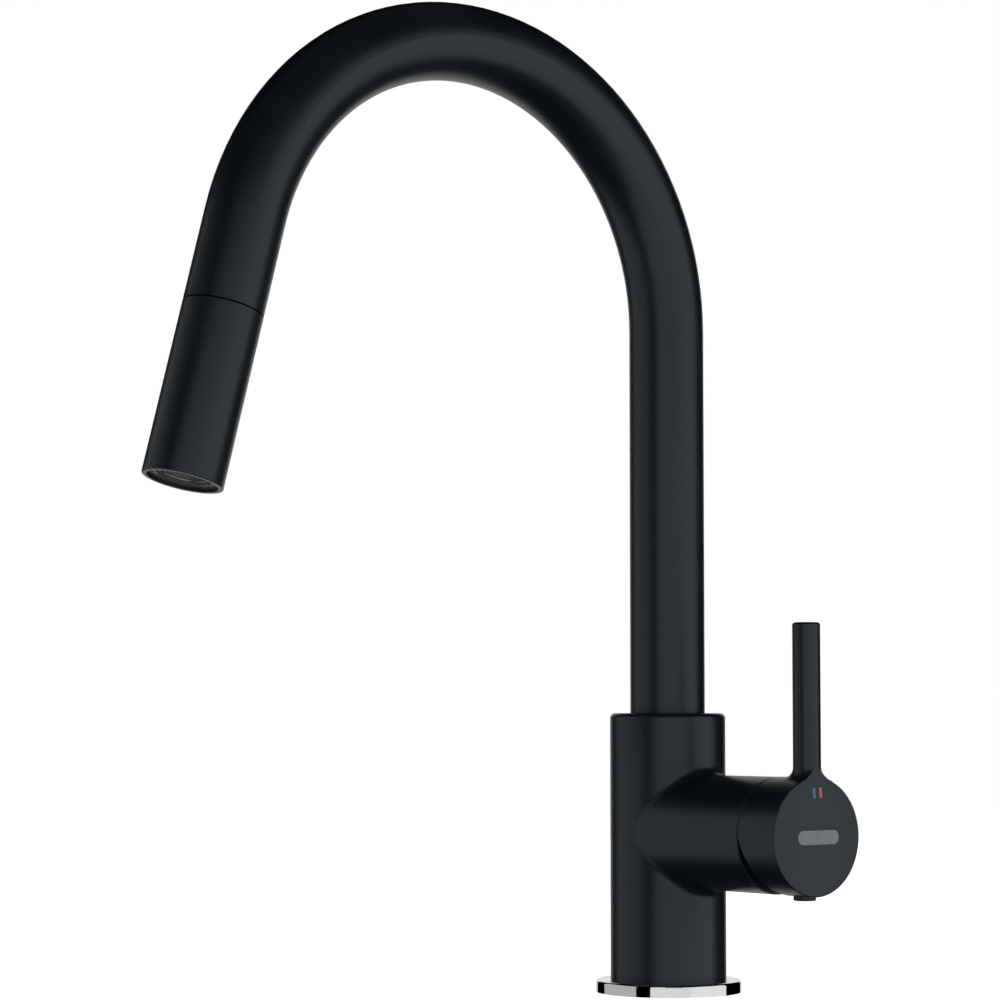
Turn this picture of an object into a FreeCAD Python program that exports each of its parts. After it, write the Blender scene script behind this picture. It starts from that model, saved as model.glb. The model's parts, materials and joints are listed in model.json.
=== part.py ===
"""Pull-down kitchen tap with a side lever, modelled piece by piece in millimetres.

Frame: the origin is the centre of the base ring's underside, on the worktop. +Z is up, the spout reaches
towards -Y, and the lever and its valve stand out along +X. Places on the spray head are given as a distance
past the end of the spout's bend, along the outlet.
"""
import FreeCAD, Part
import math
import os

V = FreeCAD.Vector
UP, DOWN, OUT, BACK = V(0, 0, 1), V(0, 0, -1), V(1, 0, 0), V(0, 1, 0)

# ---- spout ------------------------------------------------------------------------------------------
spout_od = 28.0
spout_wall = 1.5
bend_radius = 97.5         # centreline
bend_angle = 165.0         # how far the tube turns over from straight up
bend_centre_z = 247.5
outlet_straight = 33.5     # tube past the bend, down to its rim

# ---- body -------------------------------------------------------------------------------------------
body_over_hub = 0.5        # radius that the post has over the hub
body_top_z = 103.6
body_top_round = 2.0
ring_margin = 5.6          # radius that the base ring has over the post
ring_thick = 4.5
ring_edge_round = 1.0
spigot_wall = 1.7
spigot_depth = 3.7         # how far the post reaches down into the ring
gasket_thick = 1.6
gasket_width = 4.0
cavity_top_z = 24.0        # ceiling of the cavity that the hoses come up into
hub_axis_z = 59.8
hub_wall = 3.4
hub_edge_round = 0.4
hub_root_round = 4.0

# ---- spout swivel -----------------------------------------------------------------------------------
swivel_floor_z = 74.0
swivel_gap = 0.6           # radial, foot to body
foot_wall = 4.5
foot_spigot = 14.1         # length inside the tube
tube_sink = 1.5            # tube's end below the body's top
thrust_washer_thick = 1.6
swivel_ring_height = 3.0
swivel_ring_depth = 1.4    # radial, upper ring into the body
lower_ring_z = 78.0
swivel_each_way = 60.0     # degrees
stop_screw_z = 88.0
stop_screw_dia = 5.0
stop_tip_dia = 4.0
stop_slot_depth = 2.0

# ---- water-ways in the body -------------------------------------------------------------------------
port_dia = 7.0             # tapping drill of M8 x 1
port_depth = 10.0
port_web = 1.05            # metal between a port and the bores beside it
drilling_dia = 5.6
seat_web = 4.23            # metal between the mixed water drilling and the cartridge's seat
inlet_rise = -4.0          # at the seat, from the hub's axis
mixed_rise = 7.0

# ---- spray hose -------------------------------------------------------------------------------------
hose_od = 13.0
hose_bore = 8.0
hose_start_z = 0.5
hose_end_at = 11.0
guide_length = 6.0
guide_flange = 1.5
ferrule_wall = 0.75
ferrule_length = 10.0
spray_pull_room = 1.7      # radial, hose to the passage through the body

# ---- cartridge --------------------------------------------------------------------------------------
cartridge_od = 35.0
base_plate_thick = 4.5
seal_proud = 0.5
seal_wall = 1.2
disc_thick = 4.0
fixed_disc_step = 2.3      # radius that the fixed disc is under the cartridge
moving_disc_dia = 25.2
water_film = 0.02          # between the ceramic faces
driver_thick = 5.2
housing_wall = 1.2
housing_front = 3.2
rotor_flange = 4.0
rotor_neck_r = 11.0
rotor_neck_end = 12.4      # past the flange
rotor_slot_low, rotor_slot_high = -6.0, 8.0
nut_thick = 6.0
nut_over_cartridge = 1.0   # radius
dome_skirt = 8.2
dome_thick = 1.2
dome_opening = 45.0        # degrees, half angle seen from the lever's pivot

# ---- lever ------------------------------------------------------------------------------------------
pivot_depth = 10.2         # lever pivot behind the hub's end
pivot_pin_dia = 3.0
stem_width = 7.0
ball_dia = 6.4
ball_arm = 12.8            # pivot to the ball that drives the discs
lever_tilt = 16.0          # degrees from shut to full flow
cap_gap = 0.7
cap_over_hub = 0.1         # radius
cap_wall = 1.6
cap_length = 18.2
cap_crown = 1.2            # how far the face domes out
cap_rim_round = 0.5
cap_face_wall = 3.1
cap_relief = 18.0          # degrees, cut off the back edge below the axis
boss_r = 7.0
boss_length = 10.0
rod_dia = 10.0
rod_front_proud = 0.3      # rod's front past the cap's rim
rod_top_z = 136.2
rod_top_round = 1.0
rod_root_round = 4.5
lever_screw_dia = 5.0
lever_screw_length = 3.3
lever_screw_back = 6.3     # screw and plug behind the cap's rim
plug_dia = 8.0
plug_proud = 1.4
plug_length = 4.0
mark_width, mark_height, inlay_depth = 1.25, 3.6, 0.3
mark_spacing = 3.2
mark_rise = 15.8           # above the hub's axis
badge_length, badge_height = 20.0, 5.0

# ---- spray head -------------------------------------------------------------------------------------
seam = 0.35
head_length = 61.0
head_wall = 1.7
head_edge_round = 0.4
bush_start_at = 8.0
bush_cone_length = 7.7
nut_wall = 1.8
nut_length = 12.8
nut_shoulder = 1.7
nipple_bore = 6.0
nipple_flange = 1.5
hose_seal_thick = 1.4
dock_cone_length = 7.6
bush_mouth_wall = 1.2      # left at the bush's wide end
insert_gap = 0.3           # radial, docked insert to bush
valve_at = 36.0
valve_od = 14.0
valve_length = 14.0
poppet_travel = 1.5
spring_wire, spring_r, spring_pitch = 0.6, 3.4, 1.7
spring_steps = 16          # short straight steps in a turn of the coil
aerator_length = 8.0
aerator_recess = 1.2
aerator_wall = 3.0
aerator_slots = 20
aerator_seal_thick = 1.5
mesh_thick = 0.8
mesh_pitch, mesh_bar = 1.8, 0.5

# ---- clearances -------------------------------------------------------------------------------------
running = 0.05             # radial, between pieces that turn or slide in each other
slip = 0.1                 # radial, between pieces that drop into each other
easy = 0.2                 # between pieces that only pass each other
free = 0.4                 # between pieces that must never meet

# ---- worked out from the values above ---------------------------------------------------------------
spout_r = spout_od / 2
tube_inner_r = spout_r - spout_wall
hose_r = hose_od / 2
passage_r = hose_r + spray_pull_room
port_r, drilling_r = port_dia / 2, drilling_dia / 2
chamber_r = cartridge_od / 2 + easy
nut_r = cartridge_od / 2 + nut_over_cartridge
hub_r = chamber_r + hub_wall
body_r = hub_r + body_over_hub
fixed_disc_r = cartridge_od / 2 - fixed_disc_step
inlet_y = fixed_disc_r - drilling_r - 1.36
port_circle_r = max(passage_r + port_web + port_r, inlet_y / math.sin(math.radians(60)))
inlet_x = math.sqrt(port_circle_r ** 2 - inlet_y ** 2)
cavity_r = port_circle_r + port_r + port_web
spigot_r = cavity_r + spigot_wall
ring_r = body_r + ring_margin
ring_bore_r = spigot_r + slip
gasket_inner_r = ring_r - 1.7 - gasket_width

seat_x = port_circle_r + drilling_r + seat_web
base_plate_x = seat_x + seal_proud
fixed_disc_x = base_plate_x + base_plate_thick
moving_disc_x = fixed_disc_x + disc_thick + water_film
driver_x = moving_disc_x + disc_thick
rotor_x = driver_x + driver_thick + free
housing_end_x = rotor_x + rotor_flange + easy + housing_front
nut_x = housing_end_x + slip
dome_x = nut_x + nut_thick + slip
hub_end_x = dome_x + dome_skirt
pivot = V(hub_end_x - pivot_depth, 0, hub_axis_z)
dome_r = math.hypot(pivot_depth, nut_r)
disc_travel = ball_arm * math.radians(lever_tilt)

cap_back_x = hub_end_x + cap_gap
cap_rim_x = cap_back_x + cap_length
cap_r = hub_r + cap_over_hub
cap_inner_r = cap_r - cap_wall
cap_hollow_x = cap_rim_x - cap_face_wall
face_sphere_r = (cap_r ** 2 + cap_crown ** 2) / (2 * cap_crown)
rod_front_x = cap_rim_x + rod_front_proud
rod_axis_x = rod_front_x - rod_dia / 2
screw_x = cap_rim_x - lever_screw_back

swivel_r = spout_r + swivel_gap
foot_bore_r = spout_r - foot_wall
foot_bottom_z = swivel_floor_z + thrust_washer_thick + running
spout_start_z = body_top_z - tube_sink
slot_floor_r = spout_r - stop_slot_depth

turn = math.radians(bend_angle)
outlet_dir = V(0, -math.sin(turn), math.cos(turn))
bend_end = V(0, -bend_radius * (1 - math.cos(turn)), bend_centre_z + bend_radius * math.sin(turn))
nut_outer_r = hose_r + ferrule_wall + nut_wall + 0.15
bush_r = nut_outer_r + easy
dock_cone_growth = tube_inner_r - bush_mouth_wall - bush_r
nut_end_at = hose_end_at + easy + nut_length
shoulder_at = hose_end_at + easy + nut_shoulder
flange_at = shoulder_at + slip
seal_at = flange_at + nipple_flange
neck_at = seal_at + hose_seal_thick
neck_r = nut_outer_r - nut_wall
head_at = outlet_straight + seam
head_end_at = head_at + head_length
head_inner_r = spout_r - head_wall
aerator_end_at = head_end_at - aerator_recess
aerator_at = aerator_end_at - aerator_length
core_end_at = aerator_at - aerator_seal_thick
aerator_inner_r = head_inner_r - slip - aerator_wall
dock_top_at = head_at - 0.25 - dock_cone_length


def on_outlet(distance):
    """The point that far past the end of the bend, on the outlet's axis."""
    return bend_end + outlet_dir * distance


def on_hub(x, rise=0.0):
    return V(x, 0, hub_axis_z + rise)


def cylinder(radius, base, direction, length):
    return Part.makeCylinder(radius, length, V(*base), V(*direction))


def sleeve(outer_r, inner_r, base, direction, length):
    return cylinder(outer_r, base, direction, length).cut(cylinder(inner_r, base, direction, length))


def turned(profile, base, direction):
    """A solid turned on the axis through base, from (distance along the axis, radius) corners."""
    points = [V(r, 0, s) for s, r in profile]
    solid = Part.Face(Part.makePolygon(points + [points[0]])).revolve(V(0, 0, 0), UP, 360)
    solid.Placement = FreeCAD.Placement(V(*base), FreeCAD.Rotation(UP, V(*direction)))
    return solid


def head_turned(profile):
    """A piece of the spray head or hose end: corners are (place on the outlet's axis, radius)."""
    return turned(profile, bend_end, outlet_dir)


def hub_turned(profile):
    """A piece on the hub's axis: corners are (x, radius)."""
    return turned(profile, on_hub(0), OUT)


def block(low, high):
    """A box between two corners."""
    size = V(*high) - V(*low)
    return Part.makeBox(size.x, size.y, size.z, V(*low))


def edges_at(shape, test):
    """The edges whose every sampled point passes the test."""
    found = []
    for edge in shape.Edges:
        if edge.Degenerated:
            continue
        first, last = edge.ParameterRange
        if all(test(edge.valueAt(first + (last - first) * k / 6)) for k in range(7)):
            found.append(edge)
    return found


def from_hub_axis(p):
    return math.hypot(p.y, p.z - hub_axis_z)


def from_post_axis(p):
    return math.hypot(p.x, p.y)


def near(value, target):
    return abs(value - target) < 0.01


def hex_socket(across_flats, base, direction, depth):
    radius = across_flats / math.sqrt(3)
    corners = [V(radius * math.cos(math.radians(60 * k)), radius * math.sin(math.radians(60 * k)), 0)
               for k in range(7)]
    prism = Part.Face(Part.makePolygon(corners)).extrude(V(0, 0, depth))
    prism.Placement = FreeCAD.Placement(V(*base), FreeCAD.Rotation(UP, V(*direction)))
    return prism


def bent_bar(radius, low_z, tail):
    """A round bar up the post's axis from low_z, over the bend and on along the outlet."""
    riser = cylinder(radius, (0, 0, low_z), UP, bend_centre_z - low_z)
    disc = Part.Face(Part.Wire(Part.makeCircle(radius, V(0, 0, bend_centre_z), UP)))
    bend = disc.revolve(V(0, -bend_radius, bend_centre_z), OUT, bend_angle)
    return riser.fuse([bend, cylinder(radius, bend_end, outlet_dir, tail)]).removeSplitter()


# ---- on the worktop ---------------------------------------------------------------------------------

def base_ring():
    ring = sleeve(ring_r, ring_bore_r, (0, 0, 0), UP, ring_thick)
    top = edges_at(ring, lambda p: near(p.z, ring_thick) and near(from_post_axis(p), ring_r))
    return ring.makeFillet(ring_edge_round, top).cut(base_gasket())


def base_gasket():
    return sleeve(gasket_inner_r + gasket_width, gasket_inner_r, (0, 0, 0), UP, gasket_thick)


def seat_holes():
    """Where each water-way meets the cartridge, as (y, height from the hub's axis)."""
    return {"cold": (-inlet_y, inlet_rise), "hot": (inlet_y, inlet_rise), "mixed": (0.0, mixed_rise)}


def ports():
    """Where each hose screws in, as (x, y) in the cavity's ceiling."""
    return {"cold": (inlet_x, -inlet_y), "hot": (inlet_x, inlet_y), "mixed": (port_circle_r, 0.0)}


def tap_body():
    post = cylinder(body_r, (0, 0, ring_thick), UP, body_top_z - ring_thick)
    outside = post.fuse(cylinder(hub_r, on_hub(0), OUT, hub_end_x))
    root = edges_at(outside, lambda p: near(from_post_axis(p), body_r) and near(from_hub_axis(p), hub_r))
    outside = outside.makeFillet(hub_root_round, root)
    outside = outside.makeFillet(body_top_round, edges_at(outside, lambda p: near(p.z, body_top_z)))
    outside = outside.makeFillet(hub_edge_round, edges_at(outside, lambda p: near(p.x, hub_end_x)))
    spigot_z = ring_thick - spigot_depth
    outside = outside.fuse(cylinder(spigot_r, (0, 0, spigot_z), UP, spigot_depth)).removeSplitter()
    cuts = [cylinder(cavity_r, (0, 0, 0), UP, cavity_top_z),
            cylinder(passage_r, (0, 0, 0), UP, body_top_z),
            cylinder(swivel_r, (0, 0, swivel_floor_z), UP, body_top_z),
            cylinder(swivel_r + swivel_ring_depth, (0, 0, body_top_z - swivel_ring_height), UP, body_top_z),
            cylinder(stop_screw_dia / 2, (0, 0, stop_screw_z), BACK, 2 * body_r),
            cylinder(chamber_r, on_hub(seat_x), OUT, hub_end_x),
            cylinder(nut_r + slip, on_hub(nut_x - slip), OUT, hub_end_x),
            cylinder(port_r, (-port_circle_r, 0, cavity_top_z - 1), UP, port_depth + 1)]
    for name, (x, y) in ports().items():
        seat_y, rise = seat_holes()[name]
        top = hub_axis_z + rise
        cuts.append(cylinder(port_r, (x, y, cavity_top_z - 1), UP, port_depth + 1))
        cuts.append(cylinder(drilling_r, (x, y, cavity_top_z), UP, top - cavity_top_z))
        cuts.append(Part.makeSphere(drilling_r, V(x, y, top)))
        cuts.append(cylinder(drilling_r, (x, seat_y, top), OUT, seat_x - x + 1))
    return outside.cut(cuts)


def hose_guide():
    """Plastic bush that keeps the hose off the body's metal edge."""
    low = cavity_top_z - guide_flange
    inner = hose_r + 0.3
    high = cavity_top_z + guide_length
    flange_r = port_circle_r - port_r - 0.15
    neck = passage_r - running
    profile = [(low, inner + 0.8), (low, flange_r), (cavity_top_z, flange_r), (cavity_top_z, neck),
               (high, neck), (high, inner), (low + 0.8, inner)]
    return turned(profile, V(0, 0, 0), UP)


# ---- spout swivel -----------------------------------------------------------------------------------

def thrust_washer():
    return sleeve(swivel_r - easy, foot_bore_r + easy, (0, 0, swivel_floor_z), UP, thrust_washer_thick)


def spout_upper_ring():
    low = body_top_z - swivel_ring_height
    return sleeve(swivel_r + swivel_ring_depth, spout_r + running, (0, 0, low), UP, swivel_ring_height)


def spout_lower_ring():
    return sleeve(swivel_r - running, slot_floor_r, (0, 0, lower_ring_z), UP, swivel_ring_height)


def spout_stop_screw():
    """Grub screw from behind whose tip runs in the foot's slot."""
    barrel_start = swivel_r + 0.2
    barrel_end = body_r - 1.0
    tip_start = slot_floor_r + free
    tip = cylinder(stop_tip_dia / 2, (0, tip_start, stop_screw_z), BACK, barrel_start - tip_start)
    barrel = cylinder(stop_screw_dia / 2, (0, barrel_start, stop_screw_z), BACK, barrel_end - barrel_start)
    return tip.fuse(barrel).cut(hex_socket(2.5, (0, barrel_end, stop_screw_z), V(0, -1, 0), 2.5))


def stop_slot():
    """Groove in the foot; its two ends are the swivel's limits."""
    half = swivel_each_way + math.degrees(math.asin(stop_tip_dia / 2 / (slot_floor_r + free))) + 0.5
    low = stop_screw_z - stop_tip_dia / 2 - free
    high = stop_screw_z + stop_tip_dia / 2 + free
    corners = [V(slot_floor_r, 0, low), V(2 * spout_r, 0, low), V(2 * spout_r, 0, high),
               V(slot_floor_r, 0, high)]
    slot = Part.Face(Part.makePolygon(corners + [corners[0]])).revolve(V(0, 0, 0), UP, 2 * half)
    slot.rotate(V(0, 0, 0), UP, 90 - half)
    return slot


def spout_foot():
    """Brass foot soldered into the tube."""
    spigot_end = spout_start_z + foot_spigot
    foot = cylinder(spout_r, (0, 0, foot_bottom_z), UP, spout_start_z - foot_bottom_z)
    foot = foot.fuse(cylinder(tube_inner_r, (0, 0, foot_bottom_z), UP, spigot_end - foot_bottom_z))
    groove = sleeve(2 * spout_r, slot_floor_r, (0, 0, lower_ring_z), UP, swivel_ring_height)
    bore = cylinder(foot_bore_r, (0, 0, 0), UP, 2 * spigot_end)
    return foot.removeSplitter().cut([groove, bore, stop_slot()])


def spout_tube():
    return bent_bar(spout_r, spout_start_z, outlet_straight).cut(
        bent_bar(tube_inner_r, spout_start_z, outlet_straight))


def docking_bush():
    """Plastic bush in the spout's mouth that the hose nut slides through and the head docks in."""
    end = outlet_straight - 0.3
    cone = end - bush_cone_length
    return head_turned([(bush_start_at, bush_r + 1.2), (bush_start_at, tube_inner_r), (end, tube_inner_r),
                        (end, bush_r + dock_cone_growth), (cone, bush_r), (bush_start_at + 1.5, bush_r)])


def spray_hose():
    return bent_bar(hose_r, hose_start_z, hose_end_at).cut(bent_bar(hose_bore / 2, hose_start_z, hose_end_at))


# ---- hose end ---------------------------------------------------------------------------------------

def hose_ferrule():
    start = hose_end_at - ferrule_length
    outer = hose_r + running + ferrule_wall
    return sleeve(outer, hose_r + running, on_outlet(start), outlet_dir, ferrule_length)


def hose_nipple():
    """Brass tail pushed into the hose, with the flange that the spray head turns on."""
    tail_r = hose_bore / 2 - running
    bore = nipple_bore / 2
    start = hose_end_at - ferrule_length
    end = flange_at + nipple_flange
    return head_turned([(start, bore), (start, tail_r), (flange_at, tail_r), (flange_at, neck_r - slip),
                        (end, neck_r - slip), (end, bore)])


# ---- spray head -------------------------------------------------------------------------------------

def hose_nut():
    start = hose_end_at + easy
    return head_turned([(start, hose_bore / 2 + easy), (start, nut_outer_r - 0.6), (start + 0.6, nut_outer_r),
                        (nut_end_at, nut_outer_r), (nut_end_at, neck_r), (shoulder_at, neck_r),
                        (shoulder_at, hose_bore / 2 + easy)])


def hose_seal():
    return sleeve(neck_r - slip, hose_bore / 2, on_outlet(seal_at), outlet_dir, hose_seal_thick)


def spray_insert():
    """Plastic core of the head: threaded neck, docking cone and the water-way with the valve's pocket."""
    water_r = hose_bore / 2
    dock_r = bush_r - insert_gap
    core_r = head_inner_r - slip
    valve_r = valve_od / 2 + running
    cone_end = dock_top_at + dock_cone_length
    mouth_r = dock_r + dock_cone_growth
    thread_end = nut_end_at + slip
    return head_turned([(neck_at, water_r), (neck_at, neck_r - running), (thread_end, neck_r - running),
                        (thread_end, dock_r), (dock_top_at, dock_r), (cone_end, mouth_r), (head_at, mouth_r),
                        (head_at, core_r), (core_end_at, core_r), (core_end_at, valve_r), (valve_at, valve_r),
                        (valve_at, water_r)])


def spray_shell():
    shell = sleeve(spout_r, head_inner_r, on_outlet(head_at), outlet_dir, head_length)
    circles = [e for e in shell.Edges if e.isClosed() and hasattr(e.Curve, "Radius")]
    rims = [e for e in circles if near(e.Curve.Radius, spout_r)]
    return shell.makeFillet(head_edge_round, rims)


def poppet_seat_at():
    return valve_at + 3.0


def check_valve_body():
    """Cage of the non-return valve: a sharp-edged port, then a wider bore that the poppet moves in."""
    r = valve_od / 2
    end = valve_at + valve_length
    seat = poppet_seat_at()
    return head_turned([(valve_at, 3.2), (valve_at, r), (end, r), (end, 3.0), (end - 1.5, 3.0),
                        (end - 1.5, 5.6), (seat, 5.6), (seat, 3.2)])


def check_valve_poppet():
    """Plunger that rests on the port's edge and is pushed off it by the water."""
    start = poppet_seat_at() + water_film
    end = valve_at + valve_length - poppet_travel
    return head_turned([(start, 0), (start, 4.4), (start + 2.0, 4.4), (start + 2.0, 2.4), (end, 2.4),
                        (end, 0)])


def check_valve_spring():
    """Coil spring round the poppet's stem that shuts the valve."""
    start = poppet_seat_at() + water_film + 2.0 + spring_wire / 2 + running
    end = valve_at + valve_length - 1.5 - spring_wire / 2 - running
    steps = int(spring_steps * (end - start) / spring_pitch)
    angles = [2 * math.pi * k / spring_steps for k in range(steps + 1)]
    points = [V(spring_r * math.cos(a), spring_r * math.sin(a), (end - start) * k / steps)
              for k, a in enumerate(angles)]
    section = Part.Wire(Part.makeCircle(spring_wire / 2, points[0], points[1] - points[0]))
    mitred = 1
    return placed_on_outlet(Part.makePolygon(points).makePipeShell([section], True, False, mitred), start)


def aerator_seal():
    return sleeve(head_inner_r - slip, aerator_inner_r, on_outlet(core_end_at), outlet_dir, aerator_seal_thick)


def aerator_housing():
    """Slotted ring in the head's mouth, with an inner lip that holds the insert and mesh."""
    outer = head_inner_r - slip
    inner = aerator_inner_r
    ring = head_turned([(aerator_at, inner), (aerator_at, outer), (aerator_end_at, outer),
                        (aerator_end_at, inner + 0.5), (aerator_end_at - 0.5, inner)])
    slots = []
    for k in range(aerator_slots):
        slot = block((inner + 0.8, -0.45, aerator_length - 1.2), (outer - 0.7, 0.45, aerator_length + 1))
        slot.rotate(V(0, 0, 0), UP, 360 * k / aerator_slots)
        slots.append(placed_on_outlet(slot, aerator_at))
    return ring.cut(slots)


def placed_on_outlet(shape, distance):
    """Moves a shape drawn about +Z from the origin to a place on the outlet's axis."""
    place = FreeCAD.Placement(on_outlet(distance), FreeCAD.Rotation(UP, outlet_dir))
    shape.Placement = place.multiply(shape.Placement)
    return shape


def aerator_insert():
    """Perforated disc that mixes air into the water."""
    thick = 5.0
    radius = aerator_inner_r - running
    disc = cylinder(radius, (0, 0, 0), UP, thick)
    holes = []
    for share, count in ((0.78, 14), (0.48, 8)):
        for k in range(count):
            a = 2 * math.pi * k / count
            at = V(math.cos(a), math.sin(a), 0) * share * radius
            holes.append(cylinder(0.7, at - UP, UP, thick + 2))
    return placed_on_outlet(disc.cut(holes), aerator_at + 0.4)


def aerator_screen():
    """Outlet mesh of crossed bars in a rim."""
    radius = aerator_inner_r - running
    low = aerator_length - 0.8 - 2 * mesh_thick
    rim = sleeve(radius, radius - 0.7, (0, 0, low), UP, 2 * mesh_thick)
    bars = []
    rows = int((radius - 1.0) / mesh_pitch)
    for layer in range(2):
        for k in range(-rows, rows + 1):
            half = math.sqrt((radius - 0.3) ** 2 - (abs(k) * mesh_pitch + mesh_bar / 2) ** 2)
            floor = low + layer * mesh_thick
            bar = block((-half, k * mesh_pitch - mesh_bar / 2, floor),
                        (half, k * mesh_pitch + mesh_bar / 2, floor + mesh_thick))
            bar.rotate(V(0, 0, 0), UP, 45 + 90 * layer)
            bars.append(bar)
    return placed_on_outlet(rim.fuse(bars), aerator_at)


# ---- cartridge --------------------------------------------------------------------------------------

def cartridge_base():
    plate = cylinder(cartridge_od / 2, on_hub(base_plate_x), OUT, base_plate_thick)
    cuts = []
    for y, rise in seat_holes().values():
        at = V(base_plate_x - 1, y, hub_axis_z + rise)
        cuts.append(cylinder(drilling_r, at, OUT, base_plate_thick + 2))
        cuts.append(cylinder(drilling_r + seal_wall, at, OUT, 1 + 1.2))
    return plate.cut(cuts)


def cartridge_seals():
    """Three rubber rings, one round each water-way."""
    length = base_plate_x + 1.2 - seat_x
    outer = drilling_r + seal_wall
    return Part.makeCompound([sleeve(outer, drilling_r, (seat_x, y, hub_axis_z + rise), OUT, length)
                              for y, rise in seat_holes().values()])


def fixed_disc():
    disc = cylinder(fixed_disc_r, on_hub(fixed_disc_x), OUT, disc_thick)
    return disc.cut([cylinder(drilling_r, (fixed_disc_x - 1, y, hub_axis_z + rise), OUT, disc_thick + 2)
                     for y, rise in seat_holes().values()])


def moving_disc():
    """Ceramic disc with the mixing recess in its sealing face."""
    middle = on_hub(moving_disc_x, -disc_travel / 2)
    disc = cylinder(moving_disc_dia / 2, middle, OUT, disc_thick)
    return disc.cut(cylinder(7.5, middle + V(-1, 0, 2.5), OUT, 3.0))


def disc_driver():
    """Plastic plate on the moving disc, with the hole that the stem's ball works in."""
    middle = on_hub(driver_x, -disc_travel / 2)
    plate = cylinder(moving_disc_dia / 2 - easy, middle, OUT, driver_thick)
    return plate.cut(cylinder(ball_dia / 2 + slip, on_hub(driver_x + 0.8), OUT, driver_thick))


def cartridge_housing():
    outer = cartridge_od / 2
    inner = outer - housing_wall
    hole = rotor_neck_r + 0.3
    wall_x = housing_end_x - housing_front
    return hub_turned([(fixed_disc_x, fixed_disc_r + slip), (fixed_disc_x, outer), (housing_end_x, outer),
                       (housing_end_x, hole), (wall_x, hole), (wall_x, inner),
                       (moving_disc_x - water_film, inner), (moving_disc_x - water_film, fixed_disc_r + slip)])


def cartridge_rotor():
    """Turns with the lever for temperature and carries the pivot pin."""
    flange = cylinder(cartridge_od / 2 - housing_wall - 0.3, on_hub(rotor_x), OUT, rotor_flange)
    neck = cylinder(rotor_neck_r, on_hub(rotor_x), OUT, rotor_flange + rotor_neck_end)
    half = stem_width / 2 + 0.6
    slot = block((rotor_x - 1, -half, hub_axis_z + rotor_slot_low),
                 (hub_end_x, half, hub_axis_z + rotor_slot_high))
    pin_hole = cylinder(pivot_pin_dia / 2, (pivot.x, -hub_r, pivot.z), BACK, 2 * hub_r)
    return flange.fuse(neck).removeSplitter().cut([slot, pin_hole])


def pivot_pin():
    reach = math.sqrt(rotor_neck_r ** 2 - pivot_pin_dia ** 2 / 4) - slip
    return cylinder(pivot_pin_dia / 2, (pivot.x, -reach, pivot.z), BACK, 2 * reach)


def cartridge_nut():
    """Brass ring that clamps the cartridge, with six notches for its key."""
    bore = rotor_neck_r + 2.0
    ring = sleeve(nut_r, bore, on_hub(nut_x), OUT, nut_thick)
    notches = []
    for k in range(6):
        notch = block((nut_x + nut_thick - 2, -1.8, bore - 1), (nut_x + nut_thick + 1, 1.8, bore + 2.2))
        notch.translate(on_hub(0))
        notch.rotate(on_hub(0), OUT, 60 * k)
        notches.append(notch)
    return ring.cut(notches)


def cartridge_dome():
    """Round cover whose front is a sphere about the lever's pivot, so the cap's inside stays clear of it."""
    inner_r = nut_r - dome_thick
    skirt = cylinder(nut_r, on_hub(dome_x), OUT, dome_skirt)
    front = Part.makeSphere(dome_r, pivot).common(cylinder(nut_r, on_hub(hub_end_x), OUT, dome_r))
    hollow = cylinder(inner_r, on_hub(dome_x), OUT, hub_end_x - dome_x - 0.5)
    ball = Part.makeSphere(dome_r - dome_thick, pivot)
    ball = ball.common(cylinder(inner_r, on_hub(dome_x), OUT, dome_r * 2))
    opening_r = dome_r * math.sin(math.radians(dome_opening))
    opening = cylinder(opening_r, on_hub(pivot.x + dome_r / 2), OUT, dome_r)
    return skirt.fuse(front).removeSplitter().cut([hollow, ball, opening])


# ---- lever ------------------------------------------------------------------------------------------

def cartridge_stem():
    """Square bar from the discs, through its pivot, to the lever's socket."""
    half = stem_width / 2
    ball_x = pivot.x - ball_arm
    bar = block((ball_x + 1.8, -half, pivot.z - half), (cap_hollow_x - slip, half, pivot.z + half))
    ball = Part.makeSphere(ball_dia / 2, V(ball_x, 0, pivot.z))
    throat = sleeve(2 * stem_width, ball_dia / 2 - 0.7, (ball_x, 0, pivot.z), OUT, driver_thick)
    hole = cylinder(pivot_pin_dia / 2 + running, (pivot.x, -hub_r, pivot.z), BACK, 2 * hub_r)
    neck = cylinder(ball_dia / 2 - 0.7, (ball_x, 0, pivot.z), OUT, driver_thick)
    return bar.cut(throat).fuse([ball, neck]).removeSplitter().cut(hole)


def domed_cap(radius, start, rim, crown):
    """A disc on the hub's axis whose front is an arc that rises by the crown from its rim to its middle."""
    middle = rim + crown - face_sphere_r
    half = math.asin(radius / face_sphere_r) / 2
    halfway = V(face_sphere_r * math.sin(half), 0, middle + face_sphere_r * math.cos(half))
    corner, top = V(radius, 0, rim), V(0, 0, rim + crown)
    outline = Part.Wire([Part.makeLine(V(0, 0, start), V(radius, 0, start)),
                         Part.makeLine(V(radius, 0, start), corner),
                         Part.Arc(corner, halfway, top).toShape(),
                         Part.makeLine(top, V(0, 0, start))])
    solid = Part.Face(outline).revolve(V(0, 0, 0), UP, 360)
    solid.Placement = FreeCAD.Placement(on_hub(0), FreeCAD.Rotation(UP, OUT))
    return solid


def cap_outside(inset=0.0):
    """The cap with its domed face, or the same face set back by the inset."""
    return domed_cap(cap_r, cap_back_x, cap_rim_x - inset, cap_crown)


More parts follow.
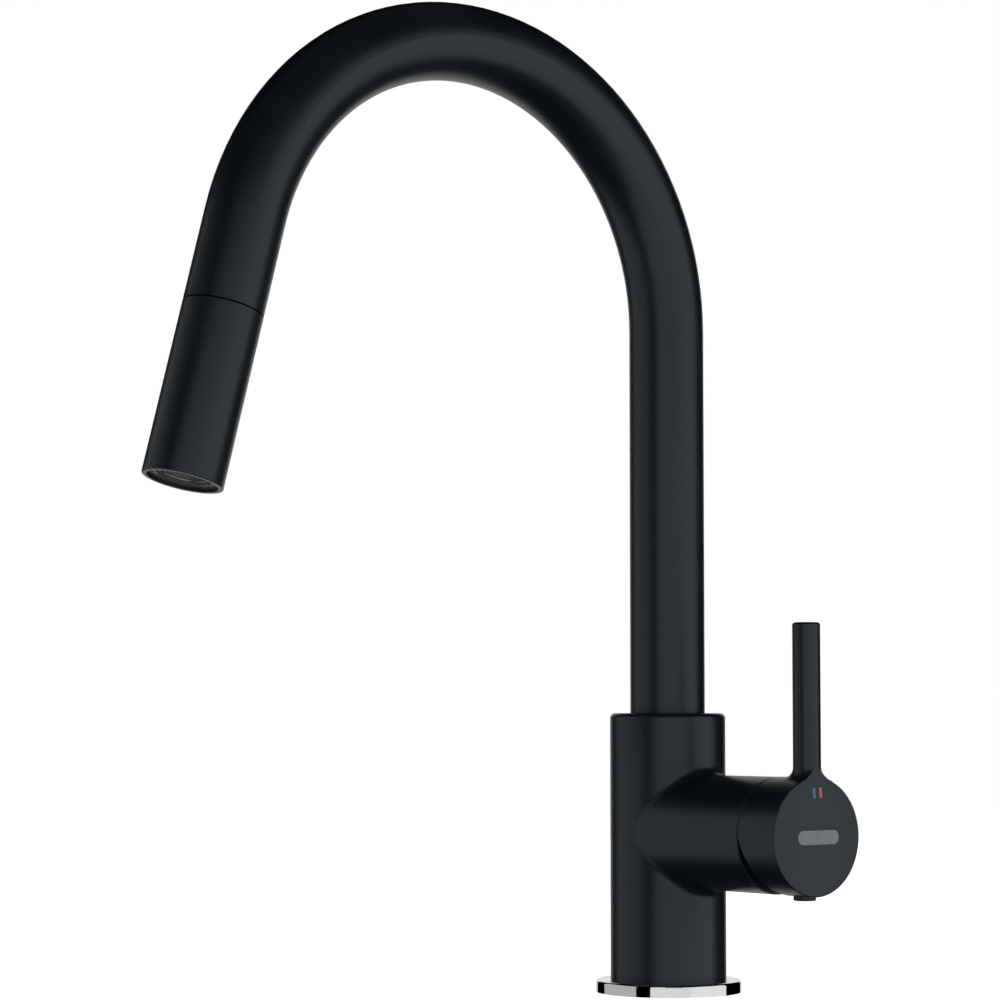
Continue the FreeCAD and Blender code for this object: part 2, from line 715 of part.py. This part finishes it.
def lever_rod():
    """The rod with its flare into the cap, cut flat in line with the front."""
    cap = cylinder(cap_r, on_hub(cap_back_x - 2 * cap_length), OUT, 6 * cap_length)
    both = cap.fuse(cylinder(rod_dia / 2, on_hub(rod_axis_x), UP, rod_top_z - hub_axis_z))
    on_rod = edges_at(both, lambda p: near(math.hypot(p.x - rod_axis_x, p.y), rod_dia / 2))
    root = [e for e in on_rod if near(from_hub_axis(e.valueAt(e.FirstParameter)), cap_r)]
    both = both.makeFillet(rod_root_round, root)
    both = both.makeFillet(rod_top_round, edges_at(both, lambda p: near(p.z, rod_top_z)))
    reach = rod_dia / 2 + rod_root_round
    room = block((rod_axis_x - reach, -reach, hub_axis_z + cap_inner_r), (rod_front_x, reach, rod_top_z + 1))
    return both.common(room)


def relief():
    """Wedge off the cap's back edge below the axis, so that the edge clears the hub as the lever tips."""
    drop = 2 * cap_r
    lean = drop * math.tan(math.radians(cap_relief))
    corners = [V(cap_back_x - 1, -drop, hub_axis_z), V(cap_back_x, -drop, hub_axis_z),
               V(cap_back_x + lean, -drop, hub_axis_z - drop), V(cap_back_x - 1, -drop, hub_axis_z - drop)]
    return Part.Face(Part.makePolygon(corners + [corners[0]])).extrude(V(0, 2 * drop, 0))


def lever_handle():
    cap = cap_outside()
    rim = edges_at(cap, lambda p: near(p.x, cap_rim_x) and near(from_hub_axis(p), cap_r))
    cap = cap.makeFillet(cap_rim_round, rim)
    hollow = cylinder(cap_inner_r, on_hub(cap_back_x - 1), OUT, cap_hollow_x - cap_back_x + 1)
    boss = cylinder(boss_r, on_hub(cap_hollow_x - boss_length), OUT, boss_length)
    half = stem_width / 2 + 0.02
    socket = block((cap_back_x, -half, hub_axis_z - half), (cap_hollow_x, half, hub_axis_z + half))
    screw_hole = cylinder(lever_screw_dia / 2, on_hub(screw_x), DOWN, boss_r + 1)
    plug_hole = cylinder(plug_dia / 2, on_hub(screw_x, -cap_inner_r + 1), DOWN, cap_r)
    body = cap.cut(hollow).fuse([boss, lever_rod()])
    return body.cut([relief(), socket, screw_hole, plug_hole, cold_mark(), hot_mark(), blank_badge()])


def inlay(outline):
    """The part of an outline, drawn along the hub's axis, that lies in the face's outer skin."""
    return outline.common(cap_outside()).cut(cap_outside(inlay_depth))


def mark(side):
    y = side * mark_spacing / 2
    z = hub_axis_z + mark_rise
    return inlay(block((cap_rim_x - 2, y - mark_width / 2, z - mark_height / 2),
                       (cap_rim_x + 4, y + mark_width / 2, z + mark_height / 2)))


def cold_mark():
    return mark(-1)


def hot_mark():
    return mark(1)


def blank_badge():
    """Plain round-ended inlay with nothing on it."""
    r = badge_height / 2
    reach = badge_length / 2 - r
    start = cap_rim_x - 2
    bar = block((start, -reach, hub_axis_z - r), (cap_rim_x + 4, reach, hub_axis_z + r))
    ends = [cylinder(r, (start, side * reach, hub_axis_z), OUT, 6) for side in (-1, 1)]
    return inlay(bar.fuse(ends).removeSplitter())


def lever_screw():
    top = -stem_width / 2 - 0.02
    screw = cylinder(lever_screw_dia / 2, on_hub(screw_x, top), DOWN, lever_screw_length)
    return screw.cut(hex_socket(2.5, on_hub(screw_x, top - lever_screw_length), UP, 2.0))


def lever_plug():
    """Plastic plug that hides the screw and stands a little proud under the cap."""
    low = -cap_r - plug_proud
    plug = cylinder(plug_dia / 2, on_hub(screw_x, low), UP, plug_length)
    return plug.makeFillet(0.5, edges_at(plug, lambda p: near(p.z, hub_axis_z + low)))


PIECES = [
    base_ring, base_gasket, tap_body, hose_guide,
    thrust_washer, spout_upper_ring, spout_lower_ring, spout_stop_screw, spout_foot, spout_tube, docking_bush,
    spray_hose, hose_ferrule, hose_nipple, hose_nut, hose_seal,
    spray_insert, spray_shell, check_valve_body, check_valve_poppet, check_valve_spring,
    aerator_seal, aerator_housing, aerator_insert, aerator_screen,
    cartridge_base, cartridge_seals, fixed_disc, moving_disc, disc_driver, cartridge_housing, cartridge_rotor,
    pivot_pin, cartridge_nut, cartridge_dome,
    cartridge_stem, lever_handle, lever_screw, lever_plug, cold_mark, hot_mark, blank_badge,
]

os.makedirs("parts", exist_ok=True)
for make in PIECES:
    shape = make()
    assert shape.isValid() and shape.Volume > 0, f"{make.__name__} came out invalid"
    shape.exportStep(os.path.join("parts", make.__name__ + ".step"))
    print(f"{make.__name__}: {len(shape.Solids)} solid(s), {shape.Volume / 1000:.3f} cm3")
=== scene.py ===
# %% [markdown]
# # A matt black pull-down kitchen tap
# The design comes in as a fixed frame: every piece of the tap is already in its place and at its size. What
# is left is the finish of each piece, and the few pieces whose look needs finer geometry than the design
# holds.

# %% Load the frame
import json
import math

import bpy
import numpy as np
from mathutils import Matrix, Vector


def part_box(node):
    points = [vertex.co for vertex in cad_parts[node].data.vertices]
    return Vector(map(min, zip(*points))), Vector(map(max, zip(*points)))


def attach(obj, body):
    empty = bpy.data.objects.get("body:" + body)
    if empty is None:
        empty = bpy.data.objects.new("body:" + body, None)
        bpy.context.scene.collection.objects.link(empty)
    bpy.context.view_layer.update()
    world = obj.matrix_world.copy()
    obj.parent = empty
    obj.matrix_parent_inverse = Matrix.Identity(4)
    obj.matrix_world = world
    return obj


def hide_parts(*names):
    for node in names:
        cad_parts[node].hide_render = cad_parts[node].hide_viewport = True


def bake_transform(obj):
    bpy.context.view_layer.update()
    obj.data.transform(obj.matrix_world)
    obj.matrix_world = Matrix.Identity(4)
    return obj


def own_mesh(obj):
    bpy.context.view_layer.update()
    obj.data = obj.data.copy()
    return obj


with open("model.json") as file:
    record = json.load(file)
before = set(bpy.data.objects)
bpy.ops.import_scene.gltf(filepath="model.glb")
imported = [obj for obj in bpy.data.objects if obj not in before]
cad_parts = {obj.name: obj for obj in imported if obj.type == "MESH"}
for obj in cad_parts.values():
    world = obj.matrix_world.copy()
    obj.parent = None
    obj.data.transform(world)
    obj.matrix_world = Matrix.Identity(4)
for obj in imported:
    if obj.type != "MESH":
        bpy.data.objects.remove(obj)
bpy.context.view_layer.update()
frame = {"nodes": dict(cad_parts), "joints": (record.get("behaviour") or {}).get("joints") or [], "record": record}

nodes = frame["nodes"]
joints = {j["name"]: j for j in frame["joints"]}
MM = 0.001
print("pieces in the frame:", len(nodes))

# %% [markdown]
# ## The camera
# A long lens a little above the worktop, looking slightly up, keeps the arch tall and the sides nearly
# parallel.

# %% The camera
camera = bpy.data.objects.new("camera", bpy.data.cameras.new("camera"))
bpy.context.scene.collection.objects.link(camera)
camera.location = (0.859588, -0.767669, 0.107184)
camera.rotation_euler = (math.radians(93.813), 0.0, math.radians(51.365))
camera.data.sensor_width = 36.0
camera.data.lens = 109.97
bpy.context.scene.camera = camera

# %% [markdown]
# ## Colour and one helper for nodes
# Paint makers give colours as sRGB hex, and the shader works in linear light, so one function turns them
# over. Every material is a small tree, and one function adds a node with its settings and its links.


# %% Helpers for materials
def linear(code):
    """Each sRGB channel c becomes c / 12.92 when small, else ((c + 0.055) / 1.055) to the power 2.4."""
    channels = np.array([int(code[i:i + 2], 16) for i in (1, 3, 5)]) / 255.0
    small = channels / 12.92
    large = ((channels + 0.055) / 1.055) ** 2.4
    return (*np.where(channels <= 0.04045, small, large), 1.0)


def add_node(tree, kind, settings=None, **inputs):
    """Adds a node. Settings are its own properties, and inputs are values or the sockets to link."""
    node = tree.nodes.new(kind)
    for name, value in (settings or {}).items():
        setattr(node, name, value)
    for name, value in inputs.items():
        key = int(name[1:]) if name[0] == "i" and name[1:].isdigit() else name.replace("_", " ")
        if isinstance(value, bpy.types.NodeSocket):
            tree.links.new(value, node.inputs[key])
        else:
            node.inputs[key].default_value = value
    return node


def new_material(name, **surface):
    """A material with one Principled shader; surface holds that shader's constants."""
    made = bpy.data.materials.new(name)
    made.use_nodes = True
    made.node_tree.nodes.clear()
    shader = add_node(made.node_tree, "ShaderNodeBsdfPrincipled", **surface)
    output = made.node_tree.nodes.new("ShaderNodeOutputMaterial")
    made.node_tree.links.new(shader.outputs[0], output.inputs[0])
    place = add_node(made.node_tree, "ShaderNodeTexCoord").outputs["Object"]
    return made, made.node_tree, shader, place


RAMP_LOW, RAMP_HIGH = 0.3, 0.7

# %% [markdown]
# ## One recipe for a finish
# Every finish here has three parts: two close shades of its colour that drift into each other, a gloss that
# drifts with them, and a fine relief from how the surface was made. Noise on Object coordinates drives all
# three, with its scale set in millimetres, so the pattern stays on the piece when it moves. Noise mostly
# lies between 0.3 and 0.7, so those two values are spread over the whole range.


# %% A finish from its shades, gloss and relief
def finish(name, shades, drift_mm, gloss, relief_mm, depth_mm, stretch=(1.0, 1.0, 1.0), **surface):
    """Slow noise runs colour and roughness from first value to second, and finer noise is the relief."""
    made, tree, shader, place = new_material(name, **surface)
    drift = add_node(tree, "ShaderNodeTexNoise", Vector=place, Scale=1.0 / (drift_mm * MM), Detail=3.0)
    ramp = add_node(tree, "ShaderNodeValToRGB", Fac=drift.outputs[0])
    for end, position, shade in zip(ramp.color_ramp.elements, (RAMP_LOW, RAMP_HIGH), shades):
        end.position, end.color = position, linear(shade)
    rough = add_node(tree, "ShaderNodeMapRange", i0=drift.outputs[0], i1=RAMP_LOW, i2=RAMP_HIGH,
                     i3=gloss[0], i4=gloss[1])
    drawn = add_node(tree, "ShaderNodeMapping", Vector=place, Scale=stretch)
    fine = add_node(tree, "ShaderNodeTexNoise", Vector=drawn.outputs[0], Scale=1.0 / (relief_mm * MM),
                    Detail=3.0)
    relief = add_node(tree, "ShaderNodeBump", Height=fine.outputs[0], Distance=depth_mm * MM)
    tree.links.new(ramp.outputs[0], shader.inputs["Base Color"])
    tree.links.new(rough.outputs[0], shader.inputs["Roughness"])
    tree.links.new(relief.outputs[0], shader.inputs["Normal"])
    return made


# %% [markdown]
# ## Matt black powder coat
# The post, spout, head and lever are metal, sprayed with powder and baked. The powder flows into a skin
# with a fine orange peel, a soft sheen and a faint cold tint. The real peel is about 0.3 mm across, too
# small to show, so it is drawn at 0.8 mm.

# %% Powder coat
powder_coat = finish("matt_black_powder_coat", ("#12191d", "#171f24"), 22.0, (0.33, 0.37), 0.8, 0.004,
                     IOR=1.5, Metallic=0.0, Specular_Tint=linear("#e4f4ff"))

# %% [markdown]
# ## Metals
# Chrome plate over polished brass is a mirror with a faint haze. Turned brass and drawn stainless steel
# keep the fine lines of the tool and the die, so their noise is squeezed along one axis into scratches.

# %% Metals
chrome = finish("polished_chrome_plate", ("#dcdee0", "#e6e7e8"), 6.0, (0.04, 0.07), 0.6, 0.0005, Metallic=1.0)
brass = finish("turned_brass", ("#a8853f", "#c9a558"), 4.0, (0.23, 0.35), 0.5, 0.006,
               stretch=(0.2, 0.2, 1.0), Metallic=1.0)
steel = finish("drawn_stainless_steel", ("#8f9193", "#b3b5b7"), 4.0, (0.25, 0.37), 0.4, 0.006,
               stretch=(1.0, 1.0, 0.15), Metallic=1.0)

# %% [markdown]
# ## Moulded plastics, rubber, ceramic and enamel
# These differ in colour and gloss but not in how they are built up. Lapped alumina has the highest index
# and the smoothest skin, and moulded rubber the roughest. The braided nylon's strands are real geometry, so
# its finish holds only the fuzz of the yarn.

# %% Moulded and fired pieces
MATERIALS = {
    "black_paint": powder_coat,
    "chrome_ring": chrome,
    "brass": brass,
    "steel": steel,
    "rubber_seals": finish("black_nitrile_rubber", ("#161616", "#1e1e1f"), 7.0, (0.58, 0.68), 0.5, 0.02,
                           IOR=1.52),
    "black_plastic": finish("black_acetal", ("#141516", "#1b1c1e"), 7.0, (0.38, 0.48), 0.4, 0.01, IOR=1.48),
    "white_plastic": finish("white_acetal", ("#dcdbd5", "#e8e7e2"), 7.0, (0.32, 0.42), 0.6, 0.008, IOR=1.48),
    "grey_plastic": finish("grey_moulded_abs", ("#55585a", "#66696b"), 7.0, (0.30, 0.40), 0.5, 0.01,
                           IOR=1.53),
    "ceramic": finish("lapped_alumina", ("#dfdcd2", "#ebe8df"), 7.0, (0.08, 0.18), 1.5, 0.001, IOR=1.76),
    "cold_blue": finish("blue_enamel", ("#3a769f", "#3f7ca8"), 4.0, (0.30, 0.38), 0.8, 0.004, IOR=1.5),
    "hot_red": finish("red_enamel", ("#cc6363", "#d86a6a"), 4.0, (0.30, 0.38), 0.8, 0.004, IOR=1.5),
    "badge_grey": finish("grey_satin_enamel", ("#858a8d", "#8f9497"), 7.0, (0.42, 0.50), 0.5, 0.004, IOR=1.5),
    "hose_cover": finish("braided_nylon", ("#1c1d1f", "#2a2c2f"), 3.0, (0.50, 0.62), 0.3, 0.03, IOR=1.53),
}
print("materials:", ", ".join(m.name for m in MATERIALS.values()))

# %% [markdown]
# ## Give every piece its finish
# The record says which finish each piece has, so one loop does them all.

# %% Finish every piece
for entry in frame["record"]["subparts"]:
    piece = nodes[entry["node"]]
    piece.data.materials.clear()
    piece.data.materials.append(MATERIALS[entry["material_slot"]])

# %% [markdown]
# ## A surface from two parameters
# A tube, a ring or a wire is a round section carried along a line. Its points are one array of rings, and
# each square of four neighbours is a face. Closing the grid both ways leaves no open edge.


# %% Surfaces from grids
def grid_piece(name, points, finish):
    """Faces join (i, j), (i+1, j), (i+1, j+1) and (i, j+1), and the last row and column meet the first."""
    rows, columns = points.shape[:2]
    index = np.arange(rows * columns).reshape(rows, columns)
    next_row, next_column = np.roll(index, -1, 0), np.roll(index, -1, 1)
    faces = np.stack([index, next_row, np.roll(next_row, -1, 1), next_column], -1).reshape(-1, 4)
    mesh = bpy.data.meshes.new(name)
    mesh.from_pydata(points.reshape(-1, 3).tolist(), [], faces.tolist())
    mesh.polygons.foreach_set("use_smooth", np.ones(len(faces), dtype=bool))
    mesh.materials.append(finish)
    mesh.update()
    piece = bpy.data.objects.new(name, mesh)
    bpy.context.scene.collection.objects.link(piece)
    print(name, "faces:", len(faces))
    return piece


# %% [markdown]
# ## Where the outlet is
# The record's joints say which way the head pulls out, and where the spout's bend ends.

# %% Outlet
pull = joints["spray_pull"]
outlet = np.array(pull["axis"]) / np.linalg.norm(pull["axis"])
pull_length = pull["range_m"][1]
bend_end = np.array(joints["spray_swivel"]["pos_m"])
across = np.array([1.0, 0.0, 0.0])
upright = np.cross(outlet, across)

# %% [markdown]
# ## The braided spray hose
# Nylon yarn is braided over a rubber hose. The hose lies whole inside the spout, up the post and over the
# bend, and shows only when the head is pulled. It is two pieces that meet inside the bend. The long one
# stays with the spout. The short one is the last 71 mm, and is tied to no body here. Its rings are spaced
# evenly along a pulled length, which is the rest length plus the pull times a smooth step: its first 30 mm
# keep their length, the next 30 mm spread over the whole pull, and the rest is moved on by the whole pull.
# The stretch that spreads holds all the braid that shows, packed tight at rest. The long one takes no such
# stretch. The braid is two families of strands that wind opposite ways, and the height at a point is the
# higher of the two.

# %% Spray hose
hose_low, hose_high = (np.array(c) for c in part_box("spray_hose"))
hose_radius = hose_high[0]
hose_bore = 4.0 * MM
bend_turn = math.acos(outlet[2])
bend_radius = -bend_end[1] / (1.0 - math.cos(bend_turn))
bend_height = bend_end[2] - bend_radius * math.sin(bend_turn)
tail = 11.0 * MM
stretch_start, stretch_end = -30.0 * MM, 0.5 * MM
strands, strand_pitch = 12.0, 6.4 * MM
weave_depth = 0.35 * MM
points_round_hose = 144


# %% The hose's line, braid and skin
def hose_line(s):
    """Centreline at s past the bend's end: straight beyond it, a circle before it, and upright below that."""
    arc = bend_radius * bend_turn
    angle = np.clip(bend_turn + s / bend_radius, 0.0, bend_turn)
    y = -bend_radius * (1.0 - np.cos(angle))
    z = bend_height + bend_radius * np.sin(angle)
    beyond, below = np.clip(s, 0.0, None), np.clip(-arc - s, 0.0, None)
    points = np.stack([np.zeros_like(s), y + beyond * outlet[1], z + beyond * outlet[2] - below], -1)
    tangent = np.stack([np.zeros_like(s), -np.sin(angle), np.cos(angle)], -1)
    return points, tangent


def braid(lengthwise, angle):
    """Strands are |sin| waves of the angle plus or minus the length; each rides over the other in turn."""
    one = strands * angle + 2.0 * np.pi * lengthwise / strand_pitch
    two = strands * angle - 2.0 * np.pi * lengthwise / strand_pitch
    return np.maximum(np.abs(np.sin(one)) * (0.65 + 0.35 * np.sin(two)),
                      np.abs(np.sin(two)) * (0.65 - 0.35 * np.sin(one)))


def hose_skin(s, lengthwise, bore_rows):
    """Radius is the hose's less the weave's depth, plus that depth times the braid; the bore is plain."""
    turn = np.linspace(0.0, 2.0 * np.pi, points_round_hose, endpoint=False)
    outer = hose_radius - weave_depth + weave_depth * braid(lengthwise[:, None], turn[None, :])
    inner = np.full_like(outer[bore_rows], hose_bore)
    radius = np.concatenate([outer, inner[::-1]])
    points, tangent = hose_line(np.concatenate([s, s[bore_rows][::-1]]))
    side = np.cross(across, tangent)
    ring = np.cos(turn)[None, :, None] * across + np.sin(turn)[None, :, None] * side[:, None, :]
    return points[:, None, :] + radius[:, :, None] * ring


# %% The hose inside the spout
join = -60.0 * MM
total = bend_radius * bend_turn + bend_height - hose_low[2]
kept_rows = 90
inside = np.linspace(-total, join, kept_rows)
kept_hose = grid_piece("hose_inside_spout", hose_skin(inside, inside, np.arange(kept_rows)),
                       MATERIALS["hose_cover"])
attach(kept_hose, "spout")

# %% The end of the hose that pulls out
samples, pulled_rows, bore_step = 4000, 520, 20
dense = np.linspace(join, tail, samples)
step = np.clip((dense - stretch_start) / (stretch_end - stretch_start), 0.0, 1.0)
pulled = dense + pull_length * step * step * (3.0 - 2.0 * step)
even = np.linspace(pulled[0], pulled[-1], pulled_rows)
bore_rows = np.append(np.arange(0, pulled_rows - 1, bore_step), pulled_rows - 1)
hose = grid_piece("braided_spray_hose", hose_skin(np.interp(even, pulled, dense), even, bore_rows),
                  MATERIALS["hose_cover"])
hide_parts("spray_hose")
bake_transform(hose)
print("hose length along its middle:", round((total + tail) * 1000), "mm")

# %% [markdown]
# ## The aerator's woven screen
# Stainless wires 0.28 mm thick cross every 0.9 mm, each going over one and under the next. One wire is a
# round section along a wave, and a chord of the disc sets its length.

# %% Aerator screen
screen_low, screen_high = (np.array(c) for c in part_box("aerator_screen"))
screen_centre = (screen_low + screen_high) / 2.0
screen_radius = (screen_high[0] - screen_low[0]) / 2.0
mesh_pitch, mesh_wire_radius = 0.9 * MM, 0.14 * MM
outer_wire_inset, wire_end_inset = 0.6 * MM, 0.4 * MM
rows_along, points_round_wire = 90, 8
tip_share = 0.02
rim_inset, rim_half_width, rim_half_height = 0.45 * MM, 0.4 * MM, 0.6 * MM
rim_steps, rim_points = 96, 16


# %% The two families of wires
def woven_wires(direction, other, phase):
    """Height along wire k is a cosine of the place in pitches plus k half turns, so neighbours alternate."""
    pitch, wire = mesh_pitch, mesh_wire_radius
    count = int((screen_radius - outer_wire_inset) / pitch)
    k = np.arange(-count, count + 1)[:, None, None]
    along = np.linspace(-1.0, 1.0, rows_along)[None, :, None]
    turn = np.linspace(0.0, 2.0 * np.pi, points_round_wire, endpoint=False)[None, None, :]
    half = np.sqrt((screen_radius - wire_end_inset) ** 2 - (k * pitch) ** 2)
    place = along * half
    capped = np.where(np.abs(along) >= 1.0, tip_share, 1.0) * wire
    rise = wire * np.cos(np.pi * (place / pitch + k) + phase)
    flat = k * pitch + capped * np.cos(turn)
    height = rise + capped * np.sin(turn)
    return screen_centre + place[..., None] * direction + flat[..., None] * other + height[..., None] * outlet


# %% A piece made of wires
def wire_piece(name, points, slot):
    """Each first index is one wire: rows run along it, columns go round it, and both its ends are closed."""
    count, length, round_points = points.shape[:3]
    index = np.arange(count * length * round_points).reshape(count, length, round_points)
    following = np.roll(index, -1, 2)
    sides = np.stack([index[:, :-1], index[:, 1:], following[:, 1:], following[:, :-1]], -1).reshape(-1, 4)
    caps = np.concatenate([index[:, 0], index[:, -1, ::-1]])
    mesh = bpy.data.meshes.new(name)
    mesh.from_pydata(points.reshape(-1, 3).tolist(), [], sides.tolist() + caps.tolist())
    mesh.materials.append(MATERIALS[slot])
    mesh.polygons.foreach_set("use_smooth", np.ones(len(mesh.polygons), dtype=bool))
    piece = bpy.data.objects.new(name, mesh)
    bpy.context.scene.collection.objects.link(piece)
    print(name, "faces:", len(mesh.polygons))
    return piece


# %% The screen's rim
def screen_rim():
    """A rounded square section carried round the disc's edge: its corners are a circle to the power 0.5."""
    turn = np.linspace(0.0, 2.0 * np.pi, rim_steps, endpoint=False)[:, None]
    section = np.linspace(0.0, 2.0 * np.pi, rim_points, endpoint=False)[None, :]
    wave_out, wave_up = np.cos(section), np.sin(section)
    radius = screen_radius - rim_inset + rim_half_width * np.sign(wave_out) * np.abs(wave_out) ** 0.5
    height = rim_half_height * np.sign(wave_up) * np.abs(wave_up) ** 0.5
    radial = np.cos(turn)[..., None] * across + np.sin(turn)[..., None] * upright
    return screen_centre + radius[..., None] * radial + height[..., None] * outlet


# %% Put the screen in place
families = [woven_wires(across, -upright, 0.0), woven_wires(upright, across, np.pi)]
shape = (-1, rows_along, points_round_wire, 3)
wires = wire_piece("woven_screen", np.concatenate([family.reshape(shape) for family in families]), "steel")
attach(wires, "spray_head")
rim = grid_piece("screen_rim", screen_rim(), MATERIALS["steel"])
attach(rim, "spray_head")
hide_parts("aerator_screen")

# %% [markdown]
# ## The check valve's spring
# A stainless wire is wound round the poppet's stem. When water pushes the poppet down, the turns of a real
# spring close up. The coil in the frame is stiff, so the poppet would pass into it. This one stands in for
# it, with an even pitch. A helix is a circle that climbs, and the wire is a round section square to it.

# %% Valve spring
wire_radius, coil_pitch = 0.3 * MM, 1.7 * MM
steps_in_turn, points_round = 24, 10
stiff_coil = nodes["check_valve_spring"].data
corners = np.empty(3 * len(stiff_coil.vertices), dtype=np.float32)
stiff_coil.vertices.foreach_get("co", corners)
offsets = corners.reshape(-1, 3) - bend_end
along_outlet = offsets @ outlet
coil_radius = np.linalg.norm(offsets - along_outlet[:, None] * outlet, axis=1).max() - wire_radius
coil_top, coil_bottom = along_outlet.min() + wire_radius, along_outlet.max() - wire_radius


# %% The coil
def coiled_wire():
    """The middle is a circle that moves on by one pitch a turn, and each ring is square to its way."""
    turns = (coil_bottom - coil_top) / coil_pitch
    turn = np.linspace(0.0, 2.0 * np.pi * turns, int(steps_in_turn * turns) + 1)[:, None]
    climb = coil_pitch / (2.0 * np.pi)
    radial = np.cos(turn) * across + np.sin(turn) * upright
    forward = coil_radius * (np.cos(turn) * upright - np.sin(turn) * across) + climb * outlet
    forward /= np.linalg.norm(forward, axis=1, keepdims=True)
    middle = bend_end + coil_radius * radial + (coil_top + climb * turn) * outlet
    section = np.linspace(0.0, 2.0 * np.pi, points_round, endpoint=False)[None, :, None]
    ring = np.cos(section) * radial[:, None] + np.sin(section) * np.cross(radial, forward)[:, None]
    return middle[:, None] + wire_radius * ring


# %% Put the spring in place
valve_spring = wire_piece("coiled_valve_spring", coiled_wire()[None], "steel")
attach(valve_spring, "spray_head")
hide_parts("check_valve_spring")
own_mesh(valve_spring)

# %% [markdown]
# ## Floor and room
# The floor is white paper that glows as bright as the plain white room behind it, so no line shows where they
# meet, and its glow alone is full white, so no shadow shows on it. Both are seen by the camera and give no
# bounced light or reflection: a white room all round would wash a matt black tap out to grey, and a studio
# hangs black cloth just outside the frame for the same reason. The floor blocks no light either, so the panels
# light the tap from below its level too. Ray visibility does all of that here.

# %% Floor
full_white = (1.0, 1.0, 1.0, 1.0)
half_floor = 40.0
floor_mesh = bpy.data.meshes.new("studio_floor")
floor_mesh.from_pydata([(-half_floor, -half_floor, 0), (half_floor, -half_floor, 0),
                        (half_floor, half_floor, 0), (-half_floor, half_floor, 0)], [], [(0, 1, 2, 3)])
floor = bpy.data.objects.new("studio_floor", floor_mesh)
bpy.context.scene.collection.objects.link(floor)
paper = finish("matt_white_paper", ("#f6f6f6", "#fbfbfb"), 60.0, (0.88, 0.92), 1.5, 0.01)
shader = next(node for node in paper.node_tree.nodes if node.type == "BSDF_PRINCIPLED")
shader.inputs["Emission Color"].default_value = full_white
shader.inputs["Emission Strength"].default_value = 1.0
floor_mesh.materials.append(paper)
floor.visible_diffuse = False
floor.visible_glossy = False
floor.visible_shadow = False

# %% Room
world = bpy.data.worlds.new("studio_room")
world.use_nodes = True
room = world.node_tree
room.nodes.clear()
backdrop = add_node(room, "ShaderNodeBackground", Color=full_white, Strength=1.0)
add_node(room, "ShaderNodeOutputWorld", i0=backdrop.outputs[0])
world.cycles_visibility.diffuse = False
world.cycles_visibility.glossy = False
bpy.context.scene.world = world
bpy.context.scene.view_settings.view_transform = "Standard"

# %% [markdown]
# ## The light
# Upright panels stand round the tap. A polished ring shows each as a white stripe, so their edges are
# chosen as azimuths: two of them side by side on the right, one on the left, and a gap between that draws
# the dark stripe down every upright tube. Each panel is as wide as its angle needs, and its brightness is a
# share of white paper's. They reach below the worktop's level, which lets light up under the lever. One
# behind and a faint one overhead keep the other sides from going black.

# %% Light panels
aim = Vector((0.0, -0.09, 0.18))
panel_distance, panel_height, panel_middle = 1.3, 1.7, 0.0


def panel(name, first, last, brightness):
    """Width is twice the distance times tan of half the angle; power is pi times area times brightness."""
    turn = math.radians((first + last) / 2.0)
    width = 2.0 * panel_distance * math.tan(math.radians(last - first) / 2.0)
    lamp = bpy.data.lights.new(name, "AREA")
    lamp.shape = "RECTANGLE"
    lamp.size, lamp.size_y = width, panel_height
    lamp.energy = math.pi * width * panel_height * brightness
    lit = bpy.data.objects.new(name, lamp)
    lit.location = (aim.x + panel_distance * math.sin(turn), aim.y - panel_distance * math.cos(turn),
                    panel_middle)
    lit.rotation_euler = (math.radians(90.0), 0.0, turn)
    lit.visible_camera = False
    bpy.context.scene.collection.objects.link(lit)
    print(name, "width", round(width, 2), "m, power", round(lamp.energy, 1), "W")
    return lit


# %% Hang the panels
panel("left_panel", -76, -4, 0.52)
panel("front_right_panel", 21, 87, 0.85)
panel("side_right_panel", 87, 152, 0.95)
panel("back_panel", 203, 253, 0.8)
overhead = panel("overhead_panel", 0, 60, 0.04)
overhead.location = (aim.x, aim.y, aim.z + panel_distance)
overhead.rotation_euler = (0.0, 0.0, 0.0)
